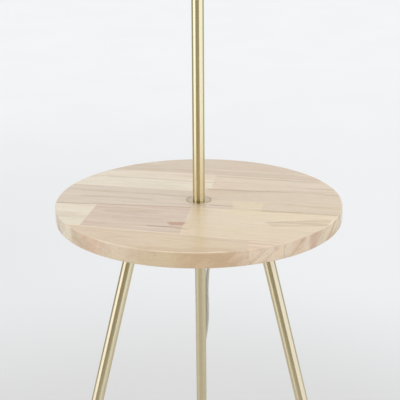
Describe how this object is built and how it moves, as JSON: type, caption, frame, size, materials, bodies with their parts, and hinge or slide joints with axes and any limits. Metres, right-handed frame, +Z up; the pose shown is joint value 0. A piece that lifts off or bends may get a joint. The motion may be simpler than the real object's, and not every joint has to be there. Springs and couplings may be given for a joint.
{
  "type": "floor lamp with table",
  "caption": "Floor lamp whose brass tube pole rises from a round wooden table on three splayed brass tube legs, with a tapered drum shade.",
  "frame": {"origin": "on the floor, on the axis of the pole", "axes": "+Z up along the pole, +Y towards the rear leg, +X to the right seen from the front"},
  "size_m": [0.431, 0.4534, 1.501],
  "materials": {
    "pale_wood": "clear satin lacquer on pale glued staves",
    "brushed_brass": "finely brushed, pale",
    "zinc_steel": "zinc plated",
    "clear_plastic": "moulded, smoky clear",
    "white_plastic": "moulded",
    "ceramic_block": "unglazed",
    "bare_brass": "plain",
    "black_plastic": "moulded",
    "nickel_cap": "nickel plated",
    "opal_glass": "opal",
    "white_steel": "powder coated",
    "linen": "woven linen on a stiff lining",
    "cord_sheath": "smoky clear sheath over grey cores",
    "tie_strap": "woven hook-and-loop strap",
    "plug_plastic": "moulded, to match the cord"
  },
  "bodies": {
    "lamp": {"bracket_screws": "zinc_steel", "bulb_cap": "nickel_cap", "bulb_glass": "opal_glass", "bulb_tip": "black_plastic", "centre_contact": "bare_brass", "coil_tie": "tie_strap", "contact_block": "ceramic_block", "cord_coil": "cord_sheath", "cord_drop": "cord_sheath", "cord_relief": "clear_plastic", "cord_tail": "cord_sheath", "fitter_ring": "white_steel", "foot_left": "black_plastic", "foot_rear": "black_plastic", "foot_right": "black_plastic", "holder_base": "white_plastic", "holder_nipple": "zinc_steel", "holder_shell": "white_plastic", "hub_nut": "zinc_steel", "inner_lead": "cord_sheath", "joint_socket": "zinc_steel", "joint_spigot": "zinc_steel", "leg_bracket_left": "zinc_steel", "leg_bracket_rear": "zinc_steel", "leg_bracket_right": "zinc_steel", "leg_insert_left": "zinc_steel", "leg_insert_rear": "zinc_steel", "leg_insert_right": "zinc_steel", "leg_left": "brushed_brass", "leg_rear": "brushed_brass", "leg_right": "brushed_brass", "plug_body": "plug_plastic", "plug_pins": "nickel_cap", "plug_relief": "plug_plastic", "pole_foot_insert": "zinc_steel", "pole_lower": "brushed_brass", "pole_top_insert": "zinc_steel", "pole_upper": "brushed_brass", "shade_bottom_ring": "white_steel", "shade_clamp_ring": "white_plastic", "shade_fabric": "linen", "shade_spokes": "white_steel", "shade_top_ring": "white_steel", "table_flange": "brushed_brass", "table_stud": "zinc_steel", "tabletop": "pale_wood", "thread_liner": "bare_brass", "under_washer": "zinc_steel"},
    "switch": {"switch_shaft": "bare_brass", "switch_knob": "white_plastic"}
  },
  "joints": [
    {"name": "switch_turn", "type": "hinge", "parent": "lamp", "child": "switch", "pos_m": [0, 0, 1.282], "axis": [1, 0, 0], "continuous": true}
  ]
}
